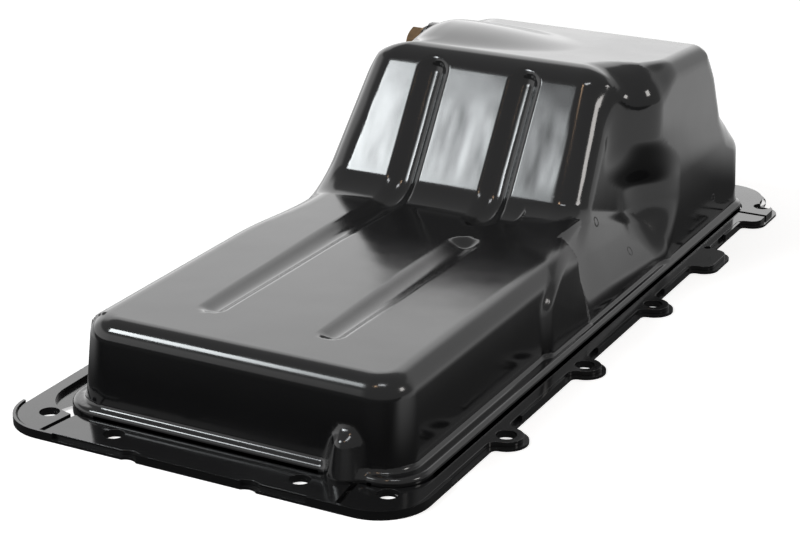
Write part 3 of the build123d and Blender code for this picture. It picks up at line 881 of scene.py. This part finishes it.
studio = {
    "floorHalf": 12.0, "floorWhite": 0.95, "floorBounce": 0.55, "floorGrey": 0.16,
    "floorUnder": (0.13, 0.272),               # half sizes of the ground that the pan shades
    # painted shadow round the pan and painted shade in front, in the floor glow that glossy rays see
    "floorShadowGlow": 0.07, "floorLitGlow": 1.0, "floorShadowReach": (0.01, 0.16),
    "floorFrontShade": 0.12, "floorFrontShadeReach": (-0.32, -0.24),
    "skyFill": 0.35, "ceiling": 0.45,
    "glows": (                                 # bearing from +Y, half width and top in degrees, strength
        (-35.0, 38.0, 48.0, 1.55),
        (25.0, 28.0, 42.0, 0.45),
        (-108.0, 46.0, 32.0, 1.0),
    ),
    "glowSides": (1.25, 0.65), "glowCap": 9.0,
    "boxes": {                                 # sizes in m, roll in degrees, radiance at the left and right
        "slopeBox": {"place": (-0.74, -1.06, 1.17), "aim": (0.0, 0.03, 0.095), "size": (0.58, 0.39),
                     "roll": 18.0, "radiance": (24.0, 2.0), "colour": (0.93, 0.98, 1.0)},
        "rightBox": {"place": (1.4, -0.05, 0.75), "aim": (0.0, 0.0, 0.05), "size": (0.3, 0.3),
                     "roll": 0.0, "radiance": (10.0, 10.0), "colour": (1.0, 0.97, 0.94)},
        "topBox": {"place": (0.52, -0.78, 1.87), "aim": (0.05, 0.03, 0.1), "size": (0.5, 0.22),
                   "roll": 0.0, "radiance": (11.0, 11.0), "colour": (0.95, 0.98, 1.0)},
        "warmBox": {"place": (0.2, -1.25, 1.9), "aim": (0.0, 0.0, 0.08), "size": (0.14, 0.22),
                    "roll": 0.0, "radiance": (16.0, 16.0), "colour": (1.0, 0.66, 0.4)},
    },
}


def greyTone(value):
    return (value, value, value, 1)


def makeFloor(s):
    mesh = bpy.data.meshes.new("floor")
    half = s["floorHalf"]
    corners = [(-half, -half, 0), (half, -half, 0), (half, half, 0), (-half, half, 0)]
    mesh.from_pydata(corners, [], [(0, 1, 2, 3)])
    floor = bpy.data.objects.new("floor", mesh)
    bpy.context.scene.collection.objects.link(floor)
    material = bpy.data.materials.new("floorPaper")
    material.use_nodes = True
    tree = material.node_tree
    tree.nodes.clear()
    link = tree.links.new
    out = tree.nodes.new("ShaderNodeOutputMaterial")
    path = tree.nodes.new("ShaderNodeLightPath")
    seen = addNode(tree, "ShaderNodeBsdfDiffuse", Color=greyTone(s["floorWhite"]))
    glow = addNode(tree, "ShaderNodeEmission", Color=greyTone(1), Strength=s["floorBounce"])
    both = tree.nodes.new("ShaderNodeAddShader")
    link(seen.outputs[0], both.inputs[0])
    link(glow.outputs[0], both.inputs[1])
    grey = addNode(tree, "ShaderNodeBsdfDiffuse", Color=greyTone(s["floorGrey"]))

    # what the pan's paint mirrors: a glow with a painted shadow, dark close to the object and bright
    # further out, and painted shade over the floor in front
    place = tree.nodes.new("ShaderNodeSeparateXYZ")
    link(tree.nodes.new("ShaderNodeTexCoord").outputs["Object"], place.inputs[0])
    x, y = place.outputs[0], place.outputs[1]
    overX, overY = (mathNode(tree, "SUBTRACT", mathNode(tree, "ABSOLUTE", axis), under)
                    for axis, under in zip((x, y), s["floorUnder"]))
    away = mathNode(tree, "MAXIMUM", overX, overY)
    # painted shadow: the glow darkens close to the pan
    paintedShadow = ramp(tree, away, *s["floorShadowReach"], s["floorShadowGlow"], s["floorLitGlow"])
    # painted shade over the floor in front of the pan
    front = ramp(tree, y, *s["floorFrontShadeReach"], s["floorFrontShade"], 1.0)
    shadedFloorGlow = addNode(tree, "ShaderNodeEmission", Color=greyTone(1))
    link(mathNode(tree, "MULTIPLY", paintedShadow, front), shadedFloorGlow.inputs["Strength"])
    gloss = tree.nodes.new("ShaderNodeMixShader")
    link(path.outputs["Is Glossy Ray"], gloss.inputs[0])
    link(grey.outputs[0], gloss.inputs[1])
    link(shadedFloorGlow.outputs[0], gloss.inputs[2])
    mix = tree.nodes.new("ShaderNodeMixShader")
    link(path.outputs["Is Camera Ray"], mix.inputs[0])
    link(gloss.outputs[0], mix.inputs[1])
    link(both.outputs[0], mix.inputs[2])
    link(mix.outputs[0], out.inputs[0])
    mesh.materials.append(material)


def makeSky(s):
    world = bpy.data.worlds.new("studio")
    bpy.context.scene.world = world
    world.use_nodes = True
    tree = world.node_tree
    tree.nodes.clear()
    link = tree.links.new
    out = tree.nodes.new("ShaderNodeOutputWorld")
    path = tree.nodes.new("ShaderNodeLightPath")
    aim = tree.nodes.new("ShaderNodeSeparateXYZ")
    link(tree.nodes.new("ShaderNodeTexCoord").outputs["Generated"], aim.inputs[0])
    bearing = mathNode(tree, "ARCTAN2", aim.outputs[0], aim.outputs[1])
    total = s["ceiling"]
    outer, inner = s["glowSides"]
    for centre, half, top, strength in s["glows"]:
        off = mathNode(tree, "ABSOLUTE", mathNode(tree, "SUBTRACT", bearing, math.radians(centre)))
        side = ramp(tree, off, math.radians(half * outer), math.radians(half * inner))
        capStart, capEnd = math.sin(math.radians(top)), math.sin(math.radians(top - s["glowCap"]))
        patch = mathNode(tree, "MULTIPLY", side, ramp(tree, aim.outputs[2], capStart, capEnd))
        total = mathNode(tree, "ADD", mathNode(tree, "MULTIPLY", patch, strength), total)
    white = addNode(tree, "ShaderNodeBackground", Color=greyTone(1), Strength=1.0)
    fill = addNode(tree, "ShaderNodeBackground", Color=greyTone(1), Strength=s["skyFill"])
    room = addNode(tree, "ShaderNodeBackground", Color=greyTone(1))
    link(total, room.inputs["Strength"])
    gloss = tree.nodes.new("ShaderNodeMixShader")
    link(path.outputs["Is Glossy Ray"], gloss.inputs[0])
    link(fill.outputs[0], gloss.inputs[1])
    link(room.outputs[0], gloss.inputs[2])
    mix = tree.nodes.new("ShaderNodeMixShader")
    link(path.outputs["Is Camera Ray"], mix.inputs[0])
    link(gloss.outputs[0], mix.inputs[1])
    link(white.outputs[0], mix.inputs[2])
    link(mix.outputs[0], out.inputs[0])


def makeLamps(s):
    for name, box in s["boxes"].items():
        width, height = box["size"]
        data = bpy.data.lights.new(name, "AREA")
        data.shape = "RECTANGLE"
        data.size = width
        data.size_y = height
        data.energy = math.pi * width * height     # so that the strength reads as radiance
        data.color = box["colour"]
        data.use_nodes = True                      # brighter on one side, as a lamp that stands askew
        tree = data.node_tree
        glow = next(node for node in tree.nodes if node.type == "EMISSION")
        across = tree.nodes.new("ShaderNodeSeparateXYZ")
        tree.links.new(tree.nodes.new("ShaderNodeNewGeometry").outputs["Parametric"], across.inputs[0])
        tree.links.new(ramp(tree, across.outputs[0], 0.0, 1.0, *box["radiance"]), glow.inputs["Strength"])
        lamp = bpy.data.objects.new(name, data)
        lamp.visible_camera = False
        lamp.location = box["place"]
        look = (Vector(box["aim"]) - Vector(box["place"])).to_track_quat("-Z", "Y")
        roll = Quaternion((0, 0, 1), math.radians(box["roll"]))
        lamp.rotation_euler = (look @ roll).to_euler()
        bpy.context.scene.collection.objects.link(lamp)


makeFloor(studio)
makeSky(studio)
makeLamps(studio)
print("stage: light")
